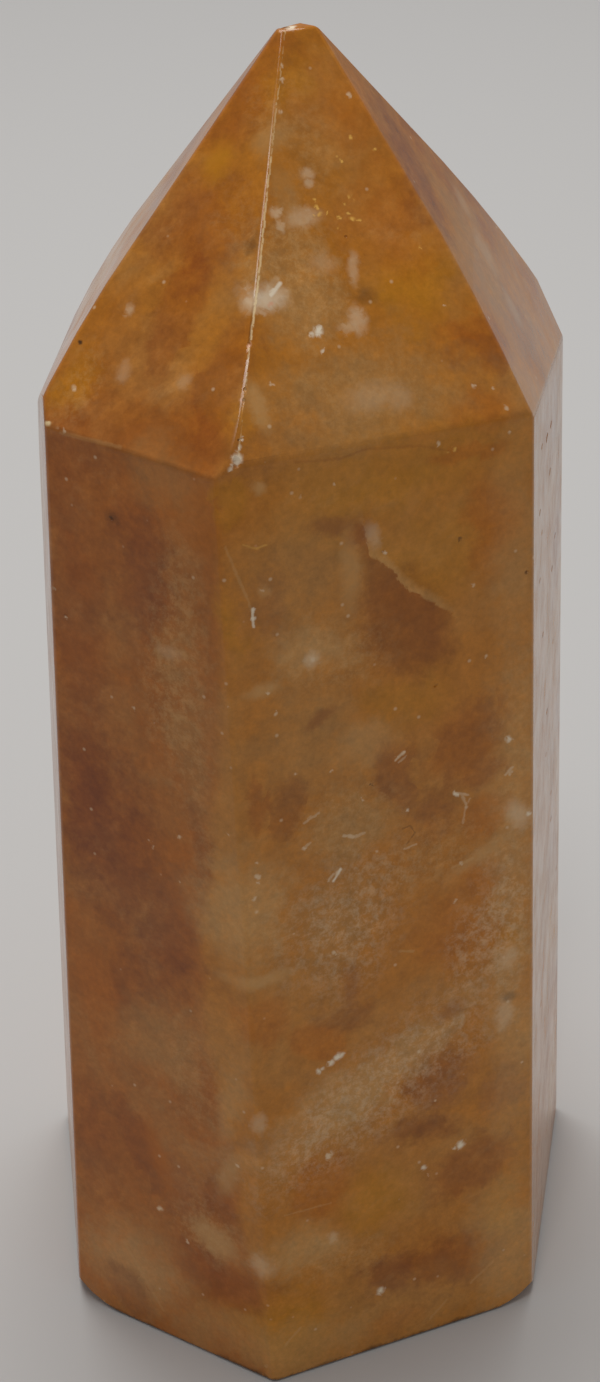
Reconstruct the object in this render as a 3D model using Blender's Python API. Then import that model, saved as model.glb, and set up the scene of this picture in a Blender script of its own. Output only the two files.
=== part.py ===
"""A polished six-sided point of orchid calcite, one stone that stands on its flat base.

Run with: blender --background --python part.py

Lengths are in metres and angles in degrees. +Z is up, the front is -Y, and the origin is the
middle of the base. The stone is made as a lapidary makes it: a sawn blank is ground facet by
facet, the tip is blunted and every arris is eased by the last polish.
"""

import math
from collections import namedtuple

import bmesh
import bpy
from mathutils import Vector

# The blank, and the peak where the crown facets would meet if the tip were sharp.
BLANK_WIDTH = 0.060
PEAK = Vector((0.0005, 0.0, 0.0820))
TIP_HEIGHT = 0.0809

# A side facet: azimuth turns from the front (-Y) towards +X, reach is its distance from the
# axis at the base, and lean is how far it leans in from upright.
SideFacet = namedtuple("SideFacet", "azimuth reach lean")
SIDE_FACETS = (
    SideFacet(azimuth=-84.4, reach=0.01597, lean=1.4),
    SideFacet(azimuth=-33.5, reach=0.01705, lean=-0.4),
    SideFacet(azimuth=23.3, reach=0.01628, lean=1.0),
    SideFacet(azimuth=80.5, reach=0.01579, lean=1.1),
    SideFacet(azimuth=144.8, reach=0.01615, lean=-0.3),
    SideFacet(azimuth=212.1, reach=0.01577, lean=1.1),
)

# A crown facet: rise is how far its normal points up from level, proud is how far it stands
# off the peak, and below its flat run it rolls over by roll before it meets the side.
CrownFacet = namedtuple("CrownFacet", "azimuth rise proud flat_run roll")
CROWN_FACETS = (
    CrownFacet(azimuth=-97.0, rise=36.4, proud=0.0, flat_run=0.0145, roll=11.6),
    CrownFacet(azimuth=-31.5, rise=42.6, proud=0.0003, flat_run=0.0105, roll=0.5),
    CrownFacet(azimuth=24.5, rise=39.3, proud=0.0, flat_run=0.0176, roll=9.0),
    CrownFacet(azimuth=86.2, rise=34.8, proud=0.00042, flat_run=0.0118, roll=8.6),
    CrownFacet(azimuth=146.3, rise=39.3, proud=-0.00045, flat_run=0.0163, roll=1.0),
    CrownFacet(azimuth=214.9, rise=31.1, proud=-0.0006, flat_run=0.0123, roll=5.8),
)
CROWN_LENGTH = 0.025
ROLL_CUTS = 4

# The eased arrises: how far the rounding reaches in from the arris on each face, how many
# flats make it, and the turn between two faces from which their edge is an arris.
ARRIS_WIDTH = 0.00028
ARRIS_FLATS = 3
ARRIS_ANGLE = 14.0
SMOOTH_ANGLE = 25.0

# Tolerances of the cuts and of the final weld.
CUT_SNAP = 1e-7
WELD_DISTANCE = 1e-5

STONE_COLOUR = (0.27, 0.105, 0.026, 1.0)
STONE_ROUGHNESS = 0.14
STONE_IOR = 1.6


def outward(azimuth, rise):
    """Unit normal of a facet that faces an azimuth and points up by rise."""
    turn, up = math.radians(azimuth), math.radians(rise)
    return Vector((math.sin(turn) * math.cos(up), -math.cos(turn) * math.cos(up), math.sin(up)))


def grind(stone, point, normal):
    """Grinds one flat: removes what lies beyond the plane and closes the cut."""
    geometry = stone.verts[:] + stone.edges[:] + stone.faces[:]
    cut = bmesh.ops.bisect_plane(
        stone, geom=geometry, dist=CUT_SNAP, plane_co=point, plane_no=normal, clear_outer=True
    )
    rim = [e for e in cut["geom_cut"] if isinstance(e, bmesh.types.BMEdge) and e.is_boundary]
    if rim:
        bmesh.ops.edgeloop_fill(stone, edges=rim)


def sawn_blank():
    """The block that the point is ground from, standing on the base plane."""
    stone = bmesh.new()
    bmesh.ops.create_cube(stone, size=1.0)
    bmesh.ops.scale(stone, vec=(BLANK_WIDTH, BLANK_WIDTH, PEAK.z), verts=stone.verts)
    bmesh.ops.translate(stone, vec=(0.0, 0.0, PEAK.z / 2), verts=stone.verts)
    return stone


def grind_sides(stone):
    """The six long facets, each leaning in a little so that the stone tapers."""
    for facet in SIDE_FACETS:
        foot = outward(facet.azimuth, 0.0) * facet.reach
        grind(stone, foot, outward(facet.azimuth, facet.lean))


def grind_crown(stone):
    """The six facets of the point: a flat run from the tip, then a slow roll to the side."""
    for facet in CROWN_FACETS:
        normal = outward(facet.azimuth, facet.rise)
        down_slope = outward(facet.azimuth, facet.rise - 90.0)
        flat_end = PEAK + normal * facet.proud + down_slope * facet.flat_run
        radius = (CROWN_LENGTH - facet.flat_run) / math.radians(facet.roll)
        centre = flat_end - normal * radius
        for cut in range(ROLL_CUTS + 1):
            rolled = outward(facet.azimuth, facet.rise - facet.roll * cut / ROLL_CUTS)
            grind(stone, centre + rolled * radius, rolled)


def blunt_tip(stone):
    """The tip is ground to a small level flat."""
    grind(stone, Vector((0.0, 0.0, TIP_HEIGHT)), Vector((0.0, 0.0, 1.0)))


def centre_on_base(stone):
    """Moves the stone so that the middle of its box stands over the origin."""
    low = Vector(min(v.co[i] for v in stone.verts) for i in range(3))
    high = Vector(max(v.co[i] for v in stone.verts) for i in range(3))
    middle = (low + high) / 2
    bmesh.ops.translate(stone, vec=(-middle.x, -middle.y, -low.z), verts=stone.verts)


def ease_arrises(stone):
    """The last polish: each arris is ground to a few flats that touch one small radius."""
    stone.normal_update()
    arrises = []
    for edge in stone.edges:
        if edge.calc_face_angle() > math.radians(ARRIS_ANGLE):
            first, second = (face.normal.copy() for face in edge.link_faces)
            arrises.append((edge.verts[0].co.lerp(edge.verts[1].co, 0.5), first, second))
    for point, first, second in arrises:
        half_turn = first.angle(second) / 2
        radius = ARRIS_WIDTH / math.tan(half_turn)
        centre = point - (first + second).normalized() * radius / math.cos(half_turn)
        for flat in range(ARRIS_FLATS):
            normal = first.slerp(second, (flat + 1) / (ARRIS_FLATS + 1))
            grind(stone, centre + normal * radius, normal)


def calcite():
    """Polished orange-brown calcite."""
    material = bpy.data.materials.new("polished orchid calcite")
    material.use_nodes = True
    shader = material.node_tree.nodes["Principled BSDF"]
    shader.inputs["Base Color"].default_value = STONE_COLOUR
    shader.inputs["Roughness"].default_value = STONE_ROUGHNESS
    shader.inputs["Metallic"].default_value = 0.0
    shader.inputs["IOR"].default_value = STONE_IOR
    return material


def calcite_point():
    """The whole stone as one object."""
    stone = sawn_blank()
    grind_sides(stone)
    grind_crown(stone)
    blunt_tip(stone)
    ease_arrises(stone)
    centre_on_base(stone)
    bmesh.ops.remove_doubles(stone, verts=stone.verts, dist=WELD_DISTANCE)
    bmesh.ops.dissolve_degenerate(stone, edges=stone.edges, dist=WELD_DISTANCE)
    bmesh.ops.recalc_face_normals(stone, faces=stone.faces)
    mesh = bpy.data.meshes.new("calcite_point")
    stone.to_mesh(mesh)
    stone.free()
    mesh.shade_smooth()
    mesh.set_sharp_from_angle(angle=math.radians(SMOOTH_ANGLE))
    item = bpy.data.objects.new("calcite_point", mesh)
    bpy.context.scene.collection.objects.link(item)
    item.data.materials.append(calcite())


def main():
    for item in list(bpy.data.objects):
        bpy.data.objects.remove(item, do_unlink=True)
    calcite_point()


main()
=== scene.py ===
"""The looks of a polished point of orchid calcite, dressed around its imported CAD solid.

Lengths are in metres, but the stone's own marks are placed in millimetres. +Z is up, the
front is -Y, and the middle of the base is the origin.
"""

import math
from collections import namedtuple

import bpy
from mathutils import Euler, Matrix, Vector

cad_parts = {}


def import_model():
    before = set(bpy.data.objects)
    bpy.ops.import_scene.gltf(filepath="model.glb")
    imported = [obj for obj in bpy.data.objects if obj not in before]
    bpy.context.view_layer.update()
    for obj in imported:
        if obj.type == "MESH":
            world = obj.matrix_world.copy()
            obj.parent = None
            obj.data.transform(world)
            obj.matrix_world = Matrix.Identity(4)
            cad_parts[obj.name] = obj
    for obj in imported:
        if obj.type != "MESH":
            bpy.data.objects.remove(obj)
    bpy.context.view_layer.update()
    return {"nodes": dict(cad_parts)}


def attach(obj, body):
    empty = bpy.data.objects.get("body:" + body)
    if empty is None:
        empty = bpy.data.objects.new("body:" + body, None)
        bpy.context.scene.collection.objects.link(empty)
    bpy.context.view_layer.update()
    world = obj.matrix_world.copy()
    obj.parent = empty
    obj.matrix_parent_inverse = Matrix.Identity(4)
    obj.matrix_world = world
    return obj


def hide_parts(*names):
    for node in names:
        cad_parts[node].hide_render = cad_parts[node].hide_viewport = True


MM = 0.001

# ---- small helpers -------------------------------------------------------------------------


def linear(hex_colour):
    """An sRGB hex colour as the linear RGBA that shaders use."""
    channels = [int(hex_colour[i : i + 2], 16) / 255 for i in (1, 3, 5)]
    lit = [c / 12.92 if c <= 0.04045 else ((c + 0.055) / 1.055) ** 2.4 for c in channels]
    return (*lit, 1.0)


def add_node(tree, kind, inputs=None, **settings):
    """Adds a shader node: settings are its properties, and each input is a socket or a value.

    A Map Range's inputs are 0 the value, 1 and 2 its range, and 3 and 4 what that becomes.
    """
    node = tree.nodes.new("ShaderNode" + kind)
    for name, value in settings.items():
        setattr(node, name, value)
    for socket, source in (inputs or {}).items():
        if isinstance(source, bpy.types.NodeSocket):
            tree.links.new(source, node.inputs[socket])
        else:
            node.inputs[socket].default_value = source
    return node


def only(item):
    """Selects one object and makes it active."""
    bpy.ops.object.select_all(action="DESELECT")
    item.select_set(True)
    bpy.context.view_layer.objects.active = item


# ---- the stone's shape ---------------------------------------------------------------------

WELD = 1e-6
# Faces that turn by less than this are one flat face, in degrees.
FLAT = 0.05
# Edges sharper than this stay crisp, in degrees.
CRISP = 20.0
# How strongly the large faces set the way that their corners face.
FACET_WEIGHT = 80

# The corners of the base are worn round: x and y in mm, turn from the front, and radius.
BASE_CORNERS = (
    (-15.23, -10.68, -59.0, 2.2),
    (-2.70, -18.97, -5.0, 0.5),
    (13.85, -11.84, 52.0, 2.0),
    (17.07, 7.41, 113.0, 1.3),
    (0.65, 18.99, 178.0, 0.9),
    (-17.05, 7.88, -116.0, 1.5),
)
WEAR_FLATS = 5
BISECT_SNAP = 1e-8
# Chips are skewed by this much for each millimetre of height, so that no two sit alike.
CHIP_SKEW = 7.0

# Hollows in the polish, in mm: their middle on the surface, half width, half height and depth,
# then how the surface there turns from the front and rises. Chips are facet-sided, as calcite
# cleaves, and pits are round.
Hollow = namedtuple("Hollow", "place half_width half_height depth turn rise")
CHIPS = (
    Hollow((-3.15, -17.85, 63.50), 0.42, 0.38, 0.16, -5, 25),
    Hollow((-2.95, -17.10, 64.45), 0.10, 0.60, 0.07, -5, 42),
    Hollow((-0.25, -0.85, 80.85), 0.42, 0.30, 0.20, -20, 50),
    Hollow((-2.44, -13.67, 68.29), 0.12, 0.14, 0.07, -3, 44),
    Hollow((-2.69, -15.38, 66.47), 0.13, 0.13, 0.08, -3, 42),
    Hollow((-2.75, -15.78, 66.03), 0.12, 0.14, 0.07, -3, 42),
    Hollow((-13.65, -10.55, 62.10), 0.16, 0.55, 0.09, -59, 5),
    Hollow((-12.60, -12.65, 61.90), 0.20, 0.14, 0.08, -33, 18),
    Hollow((13.45, -11.15, 19.10), 0.14, 0.26, 0.09, 52, 0),
    Hollow((13.05, -10.85, 36.60), 0.12, 0.34, 0.10, 52, 0),
    Hollow((12.85, -10.70, 45.20), 0.10, 0.16, 0.07, 52, 0),
    Hollow((-14.85, -10.45, 30.40), 0.10, 0.20, 0.08, -59, 0),
    Hollow((-14.60, -10.30, 47.70), 0.09, 0.15, 0.07, -59, 0),
    Hollow((0.60, 18.50, 31.00), 0.12, 0.24, 0.10, 178, 0),
    Hollow((-16.10, 7.60, 40.00), 0.12, 0.22, 0.10, -116, 0),
    Hollow((16.20, 7.05, 47.00), 0.10, 0.20, 0.10, 113, 0),
)
PITS = (
    Hollow((14.71, -0.10, 56.55), 0.50, 0.16, 0.06, 80, 1),
    Hollow((14.24, -2.82, 57.06), 0.60, 0.20, 0.07, 80, 1),
    Hollow((13.67, -6.12, 58.15), 0.40, 0.12, 0.05, 80, 1),
    Hollow((14.67, -0.64, 53.77), 0.50, 0.14, 0.06, 80, 1),
    Hollow((13.54, -7.28, 54.60), 0.40, 0.14, 0.06, 80, 1),
    Hollow((13.81, -5.93, 52.59), 0.30, 0.12, 0.05, 80, 1),
    Hollow((15.44, 3.24, 47.45), 0.40, 0.12, 0.05, 80, 1),
    Hollow((15.12, 1.16, 46.33), 0.40, 0.14, 0.06, 80, 1),
    Hollow((13.65, -7.15, 50.15), 0.35, 0.12, 0.05, 80, 1),
    Hollow((14.10, -5.01, 45.34), 0.35, 0.14, 0.06, 80, 1),
    Hollow((15.40, 2.20, 40.64), 0.30, 0.10, 0.05, 80, 1),
    Hollow((14.75, -1.97, 38.18), 0.40, 0.14, 0.06, 80, 1),
    Hollow((14.71, -2.55, 35.47), 0.30, 0.12, 0.05, 80, 1),
    Hollow((15.46, 1.31, 30.17), 0.30, 0.12, 0.05, 80, 1),
    Hollow((15.51, 1.42, 28.14), 0.35, 0.14, 0.06, 80, 1),
    Hollow((16.35, 5.65, 21.39), 0.30, 0.12, 0.05, 80, 1),
    Hollow((14.54, -5.48, 18.80), 0.35, 0.12, 0.05, 80, 1),
    Hollow((7.34, -13.74, 47.22), 0.09, 0.09, 0.06, 23, 1),
    Hollow((12.53, -11.40, 53.10), 0.10, 0.10, 0.06, 23, 1),
    Hollow((2.79, -8.16, 71.85), 0.09, 0.09, 0.06, 25, 39),
    Hollow((-13.02, -12.58, 51.62), 0.10, 0.10, 0.06, -33, 0),
    Hollow((-13.61, -12.19, 53.13), 0.12, 0.10, 0.06, -33, 0),
    Hollow((-10.03, -14.61, 58.61), 0.11, 0.10, 0.06, -33, 0),
    Hollow((4.45, -14.81, 56.41), 0.09, 0.09, 0.06, 23, 1),
)


def way_out(turn, rise):
    """The direction that faces a turn from the front and rises by an angle."""
    turn, rise = math.radians(turn), math.radians(rise)
    level = math.cos(rise)
    return Vector((math.sin(turn) * level, -math.cos(turn) * level, math.sin(rise)))


def wear_base_corner(x, y, turn, radius):
    """Rounds one corner of the base of the stone being edited, with a few small flats."""
    corner = Vector((x, y, 0.0)) * MM
    middle = corner - (way_out(turn, 0.0) - Vector((0.0, 0.0, 1.0))) * radius * MM
    for flat in range(WEAR_FLATS):
        facing = way_out(turn, -90.0 * (flat + 1) / (WEAR_FLATS + 1))
        bpy.ops.mesh.select_all(action="SELECT")
        bpy.ops.mesh.bisect(
            plane_co=middle + facing * radius * MM,
            plane_no=facing,
            use_fill=True,
            clear_outer=True,
            threshold=BISECT_SNAP,
        )


def hollow_tool(hollow, roundness):
    """The shape that is cut out of the surface for one chip or pit."""
    bpy.ops.mesh.primitive_ico_sphere_add(
        subdivisions=roundness,
        radius=MM,
        location=Vector(hollow.place) * MM,
        rotation=(math.radians(-hollow.rise), 0.0, math.radians(hollow.turn)),
        scale=(hollow.half_width, hollow.depth, hollow.half_height),
    )
    tool = bpy.context.object
    if roundness == 1:
        bpy.ops.object.mode_set(mode="EDIT")
        bpy.ops.mesh.select_all(action="SELECT")
        bpy.ops.transform.rotate(
            value=hollow.place[2] * CHIP_SKEW,
            orient_axis="Y",
            orient_type="LOCAL",
            center_override=Vector(hollow.place) * MM,
        )
        bpy.ops.object.mode_set(mode="OBJECT")
    return tool


def cut_hollows(stone):
    """Cuts the chips and pits out of the stone."""
    tools = [hollow_tool(h, 1) for h in CHIPS] + [hollow_tool(h, 2) for h in PITS]
    bpy.ops.object.select_all(action="DESELECT")
    for tool in tools:
        tool.select_set(True)
    bpy.context.view_layer.objects.active = tools[0]
    bpy.ops.object.join()
    bpy.ops.object.transform_apply(location=True, rotation=True, scale=True)
    burr = bpy.context.object
    cut = stone.modifiers.new("hollows", "BOOLEAN")
    cut.operation = "DIFFERENCE"
    cut.solver = "EXACT"
    cut.object = burr
    only(stone)
    bpy.ops.object.modifier_apply(modifier=cut.name)
    bpy.data.objects.remove(burr, do_unlink=True)


def stone_body(node):
    """The ground and polished stone, from the frame's own solid."""
    stone = node.copy()
    stone.data = node.data.copy()
    stone.name = "polished_stone"
    bpy.context.scene.collection.objects.link(stone)
    only(stone)
    bpy.ops.object.mode_set(mode="EDIT")
    bpy.ops.mesh.select_all(action="SELECT")
    bpy.ops.mesh.remove_doubles(threshold=WELD)
    bpy.ops.mesh.dissolve_limited(angle_limit=math.radians(FLAT))
    for corner in BASE_CORNERS:
        wear_base_corner(*corner)
    bpy.ops.object.mode_set(mode="OBJECT")
    cut_hollows(stone)
    only(stone)
    bpy.ops.object.shade_smooth_by_angle(angle=math.radians(CRISP))
    # The large faces keep their own way of facing, so that only the eased arrises look round.
    facing = stone.modifiers.new("facet_normals", "WEIGHTED_NORMAL")
    facing.keep_sharp = True
    facing.weight = FACET_WEIGHT
    bpy.ops.object.modifier_apply(modifier=facing.name)
    return stone


# ---- the stone's colours and marks, in millimetres -----------------------------------------

TONES = {
    "honey": "#C78306",
    "amber": "#BC6606",
    "deep_amber": "#8F4108",
    "umber": "#84400F",
    "plum": "#84421F",
    "buff": "#D2A468",
    "pink_buff": "#B6884E",
    "ash": "#E6C8A2",
    "chalk": "#F4E4C8",
    "cream": "#FFE6B0",
    "rose": "#E0A884",
    # Gold: painted glints, where cracks inside the stone catch the light.
    "gold": "#FFC860",
    # Soot and shade: dark marks, and the painted shade along the foot of the stone.
    "soot": "#3A2410",
}

# The body colours: ochre to the right, rose brown to the left, deeper orange in the crown.
OCHRE = "#BC7829"
ROSE_BROWN = "#AA621E"
CROWN_ORANGE = "#B26E19"

# A mark inside the stone: its middle, its half width and half height in the plane of the
# facet that it shows through, its clockwise lean, and the way that facet faces.
Mark = namedtuple("Mark", "place half_width half_height lean azimuth")
# Marks that are laid together: how soft their edges are, then the marks by tone and strength.
MarkLayer = namedtuple("MarkLayer", "softness marks")
# How much a mark's depth under its facet is squeezed, so that it reaches far into the stone.
DEPTH_SQUEEZE = 0.8
# A lean under this many degrees doesn't show, so such a mark is drawn upright.
LEAST_LEAN = 8

# Clouds have soft, drifting edges.
CLOUDS = MarkLayer(0.7, {
    "honey": {
        0.38: (
            ((-0.2, -3.4, 78.7), 1.2, 1, 0, 25), ((-3.0, -16.8, 64.9), 1, 0.91, 0, 24),
            ((7.9, -13.3, 55.7), 3.2, 2.9, 30, 23), ((-3.7, -18.4, 53.9), 0.52, 2.1, 0, 23),
            ((5.5, -14.6, 47.0), 2.3, 1.6, 0, 23), ((11.7, -12.2, 28.2), 1, 1.7, 0, 23),
            ((12.0, -12.5, 7.8), 1.2, 2.4, 0, 23), ((4.3, -14.8, 60.6), 8, 2.4, 0, 23),
        ),
        0.52: (
            ((-12.0, -11.3, 65.1), 0.94, 1.4, 20, -31), ((6.4, -8.8, 69.3), 2.3, 1.4, -30, 25),
            ((4.3, -14.8, 60.3), 5.1, 1.2, 0, 23), ((4.0, -15.8, 12.2), 2.1, 2, 0, 23),
            ((-1.9, -18.5, 4.0), 3.1, 2.6, 0, 23),
        ),
    },
    "amber": {
        0.38: (
            ((2.9, -3.3, 77.2), 1.8, 1.5, -10, 25), ((-12.4, -12.8, 23.9), 1.4, 3.4, 0, -33),
            ((-12.7, -12.4, 8.6), 1.4, 2.6, -10, -33), ((10.2, -12.8, 33.4), 1.8, 1.4, 0, 23),
            ((8.7, -13.5, 30.6), 2.4, 2.5, 20, 23), ((5.2, -15.5, 1.9), 2, 0.88, -10, 23),
        ),
        0.52: (
            ((5.3, -6.8, 72.1), 2.2, 2.3, -20, 25), ((9.8, -12.0, 63.4), 1.8, 0.94, 0, 24),
            ((10.6, -12.2, 56.4), 1.3, 2.9, 0, 23), ((-8.9, -15.4, 60.8), 6, 2.2, 0, -33),
        ),
    },
    "deep_amber": {
        0.2: (
            ((-9.9, -10.6, 66.9), 1.9, 2.5, 20, -31),
        ),
        0.38: (
            ((-2.1, -3.1, 78.3), 1.4, 2, 10, -32), ((-3.7, -4.5, 76.2), 1.1, 1.1, 30, -32),
            ((-12.2, -13.1, 52.5), 1.7, 9.7, 0, -33), ((-12.4, -12.9, 39.8), 1.5, 4.7, 0, -33),
        ),
        0.52: (
            ((-4.9, -8.0, 72.2), 3.1, 1.9, 15, -32), ((10.3, -9.8, 66.1), 2, 1, 15, 24),
            ((-5.9, -16.9, 6.7), 2.8, 2.3, 0, -33), ((11.9, -12.4, 17.6), 1.3, 2.1, 0, 23),
            ((8.4, -14.1, 5.5), 3.7, 1.8, 10, 23),
        ),
    },
    "umber": {
        0.2: (
            ((-7.9, -13.5, 65.3), 1.7, 2.6, 0, -31),
        ),
        0.38: (
            ((-11.4, -13.8, 62.5), 2.3, 1.4, 10, -33), ((-11.8, -13.3, 42.5), 2, 3.7, -20, -33),
            ((-10.6, -14.0, 27.0), 1.3, 2.5, 0, -33), ((-6.2, -17.0, 39.0), 0.67, 3.9, 5, -33),
            ((-13.5, -11.9, 13.4), 1, 4.3, 0, -33), ((1.7, -16.6, 26.4), 1.6, 1.2, 0, 23),
            ((-2.8, -18.7, 18.5), 1.6, 0.83, -20, 23), ((-6.8, -15.0, 63.9), 6, 1.3, 0, -33),
        ),
        0.52: (
            ((6.5, -14.7, 16.5), 2.1, 1.1, 0, 23),
        ),
    },
    "plum": {
        0.38: (
            ((12.9, -2.2, 63.4), 2.6, 2.5, -15, 86), ((-7.9, -15.6, 12.7), 0.88, 2, 0, -33),
            ((-1.6, -17.4, 55.0), 1, 2.2, 0, 23), ((7.1, -14.0, 38.6), 1.5, 1.1, 0, 23),
        ),
        0.52: (
            ((6.5, -2.3, 73.5), 3.4, 1.7, -35, 86), ((-8.6, -15.5, 55.9), 1.7, 4.3, 0, -33),
            ((-11.2, -13.7, 36.6), 2.9, 5.8, -15, -33), ((-8.3, -15.5, 32.2), 2.4, 4, 0, -33),
            ((7.6, -14.1, 20.3), 1.7, 2.2, 0, 23), ((4.4, -15.8, 6.0), 1.6, 1.7, 40, 23),
        ),
    },
    "buff": {
        0.2: (
            ((12.0, -11.8, 55.0), 1.2, 8, 0, 23), ((6.0, -15.0, 3.0), 5, 2.2, 0, 23),
        ),
        0.38: (
            ((3.4, -15.5, 44.4), 1.7, 1.3, 0, 23), ((-0.7, -17.8, 19.5), 1.2, 5.8, 58, 23),
            ((-5.1, -17.5, 20.2), 0.99, 3.2, 15, -33), ((12.2, -11.9, 38.0), 1.6, 10, 0, 23),
            ((12.4, -12.1, 21.0), 1.6, 9, 0, 23), ((-1.7, -18.2, 2.2), 6, 2, 0, 23),
        ),
        0.52: (
            ((0.4, -16.6, 51.5), 2.1, 1.5, 20, 23), ((-3.3, -18.5, 35.4), 2.2, 3, 5, 23),
            ((3.6, -15.9, 20.8), 1.4, 7.2, 58, 23), ((-0.6, -17.9, 9.7), 2.5, 1.6, 0, 23),
            ((12.2, -12.4, 5.0), 2.4, 5, 0, 23), ((-11.6, -13.2, 4.4), 3.8, 3, 0, -33),
        ),
    },
    "pink_buff": {
        0.2: (
            ((-3.6, -11.1, 70.1), 1.5, 1.4, 0, -31),
        ),
        0.38: (
            ((10.3, -2.0, 67.8), 4.1, 2.7, -32, 86), ((-7.3, -16.5, 62.1), 1.9, 1.6, 0, -33),
            ((-6.5, -16.9, 51.3), 1.3, 2.7, 0, -33), ((-8.9, -15.0, 23.8), 2.4, 2.4, 0, -33),
            ((-6.2, -17.0, 45.0), 0.93, 3.9, 0, -33), ((-0.0, -16.7, 56.5), 2.7, 2.9, 0, 23),
            ((-0.1, -17.0, 45.8), 2.2, 3, 0, 23),
        ),
        0.52: (
            ((3.4, -13.6, 65.2), 5.3, 1.9, 0, 24), ((0.1, -11.1, 70.0), 2.2, 2.4, -10, 25),
            ((2.2, -16.1, 39.2), 2, 2.2, 0, 23), ((1.6, -16.5, 33.2), 2.4, 3.1, 20, 23),
        ),
    },
})

# Veils are cottony: pale haze that breaks up into clots and fibres.
VEILS = MarkLayer(0.75, {
    "buff": {
        0.22: (
            ((3.4, -13.6, 65.2), 5.5, 2, 0, 24), ((0.4, -5.6, 76.2), 1.6, 2.4, 0, 25),
            ((-11.6, -11.6, 64.8), 1.2, 2, 10, -31), ((10.2, -1.6, 67.4), 3.6, 2.2, -32, 86),
            ((-6.0, -17.0, 40.0), 1, 6, 0, -33), ((-7.2, -16.2, 22.0), 2, 4, 0, -33),
        ),
        0.36: (
            ((7.6, -14.1, 36.0), 3.4, 1.8, 0, 23), ((2.4, -16.0, 40.0), 2.8, 2.2, 0, 23),
            ((-2.4, -18.2, 35.0), 1.8, 3.2, 0, 23), ((1.6, -16.3, 51.0), 3.4, 2.4, 15, 23),
            ((0.6, -10.6, 70.6), 2.6, 3, -10, 25), ((-6.8, -16.7, 50.0), 2, 8, 0, -33),
            ((-6.6, -16.6, 10.4), 2.6, 2, 25, -33), ((12.2, -12.0, 34.0), 1.2, 14, 0, 23),
            ((1.0, -17.2, 8.6), 3.6, 1.6, 0, 23),
        ),
    },
    "ash": {
        0.36: (
            ((4.6, -15.5, 20.8), 2.8, 9, 56, 23), ((0.6, -17.2, 18.6), 2, 4.8, 50, 23),
            ((2.2, -16.3, 33.0), 3.2, 4.2, 20, 23), ((10.6, -12.8, 29.4), 2.2, 4.5, 20, 23),
        ),
    },
})

# Cleavage blocks have stepped edges, where the crystal has split.
BLOCKS = MarkLayer(0.34, {
    "honey": {
        0.4: (
            ((-3.5, -18.2, 61.4), 0.85, 1.5, 0, 23),
        ),
    },
    "amber": {
        0.4: (
            ((9.2, -9.5, 67.1), 1.5, 0.6, 0, 25), ((9.2, -12.7, 61.2), 2.2, 0.5, -4, 23),
            ((10.4, -12.6, 38.0), 1.5, 1.5, 20, 23), ((-2.7, -18.4, 27.7), 1.6, 2, 0, 23),
            ((0.3, -17.2, 25.2), 1.9, 0.96, 30, 23), ((0.4, -17.4, 14.4), 2, 2.4, 20, 23),
        ),
    },
    "deep_amber": {
        0.4: (
            ((-6.2, -11.0, 68.7), 1.3, 2.7, 4, -31), ((-3.9, -14.6, 66.5), 1.4, 2.7, 0, -31),
            ((9.3, -13.0, 43.3), 2.1, 2.8, 35, 23), ((10.1, -12.7, 40.9), 1.6, 1, 0, 23),
            ((-2.7, -18.2, 42.5), 0.66, 1.9, 0, 23), ((9.8, -13.3, 12.3), 3, 1.9, -20, 23),
        ),
    },
    "umber": {
        0.4: (
            ((-10.6, -13.9, 15.1), 1.1, 4, -26, -33), ((-5.9, -16.9, 13.1), 1.4, 1.5, 30, -33),
            ((-11.9, -12.9, 2.5), 2.3, 1.6, 30, -33), ((5.5, -14.5, 51.7), 2.5, 3.7, -28, 23),
            ((-1.0, -17.4, 41.9), 1.2, 1.9, 0, 23),
        ),
    },
    "plum": {
        0.4: (
            ((5.1, -14.8, 42.1), 1.2, 2.2, -12, 23),
        ),
    },
})

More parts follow.
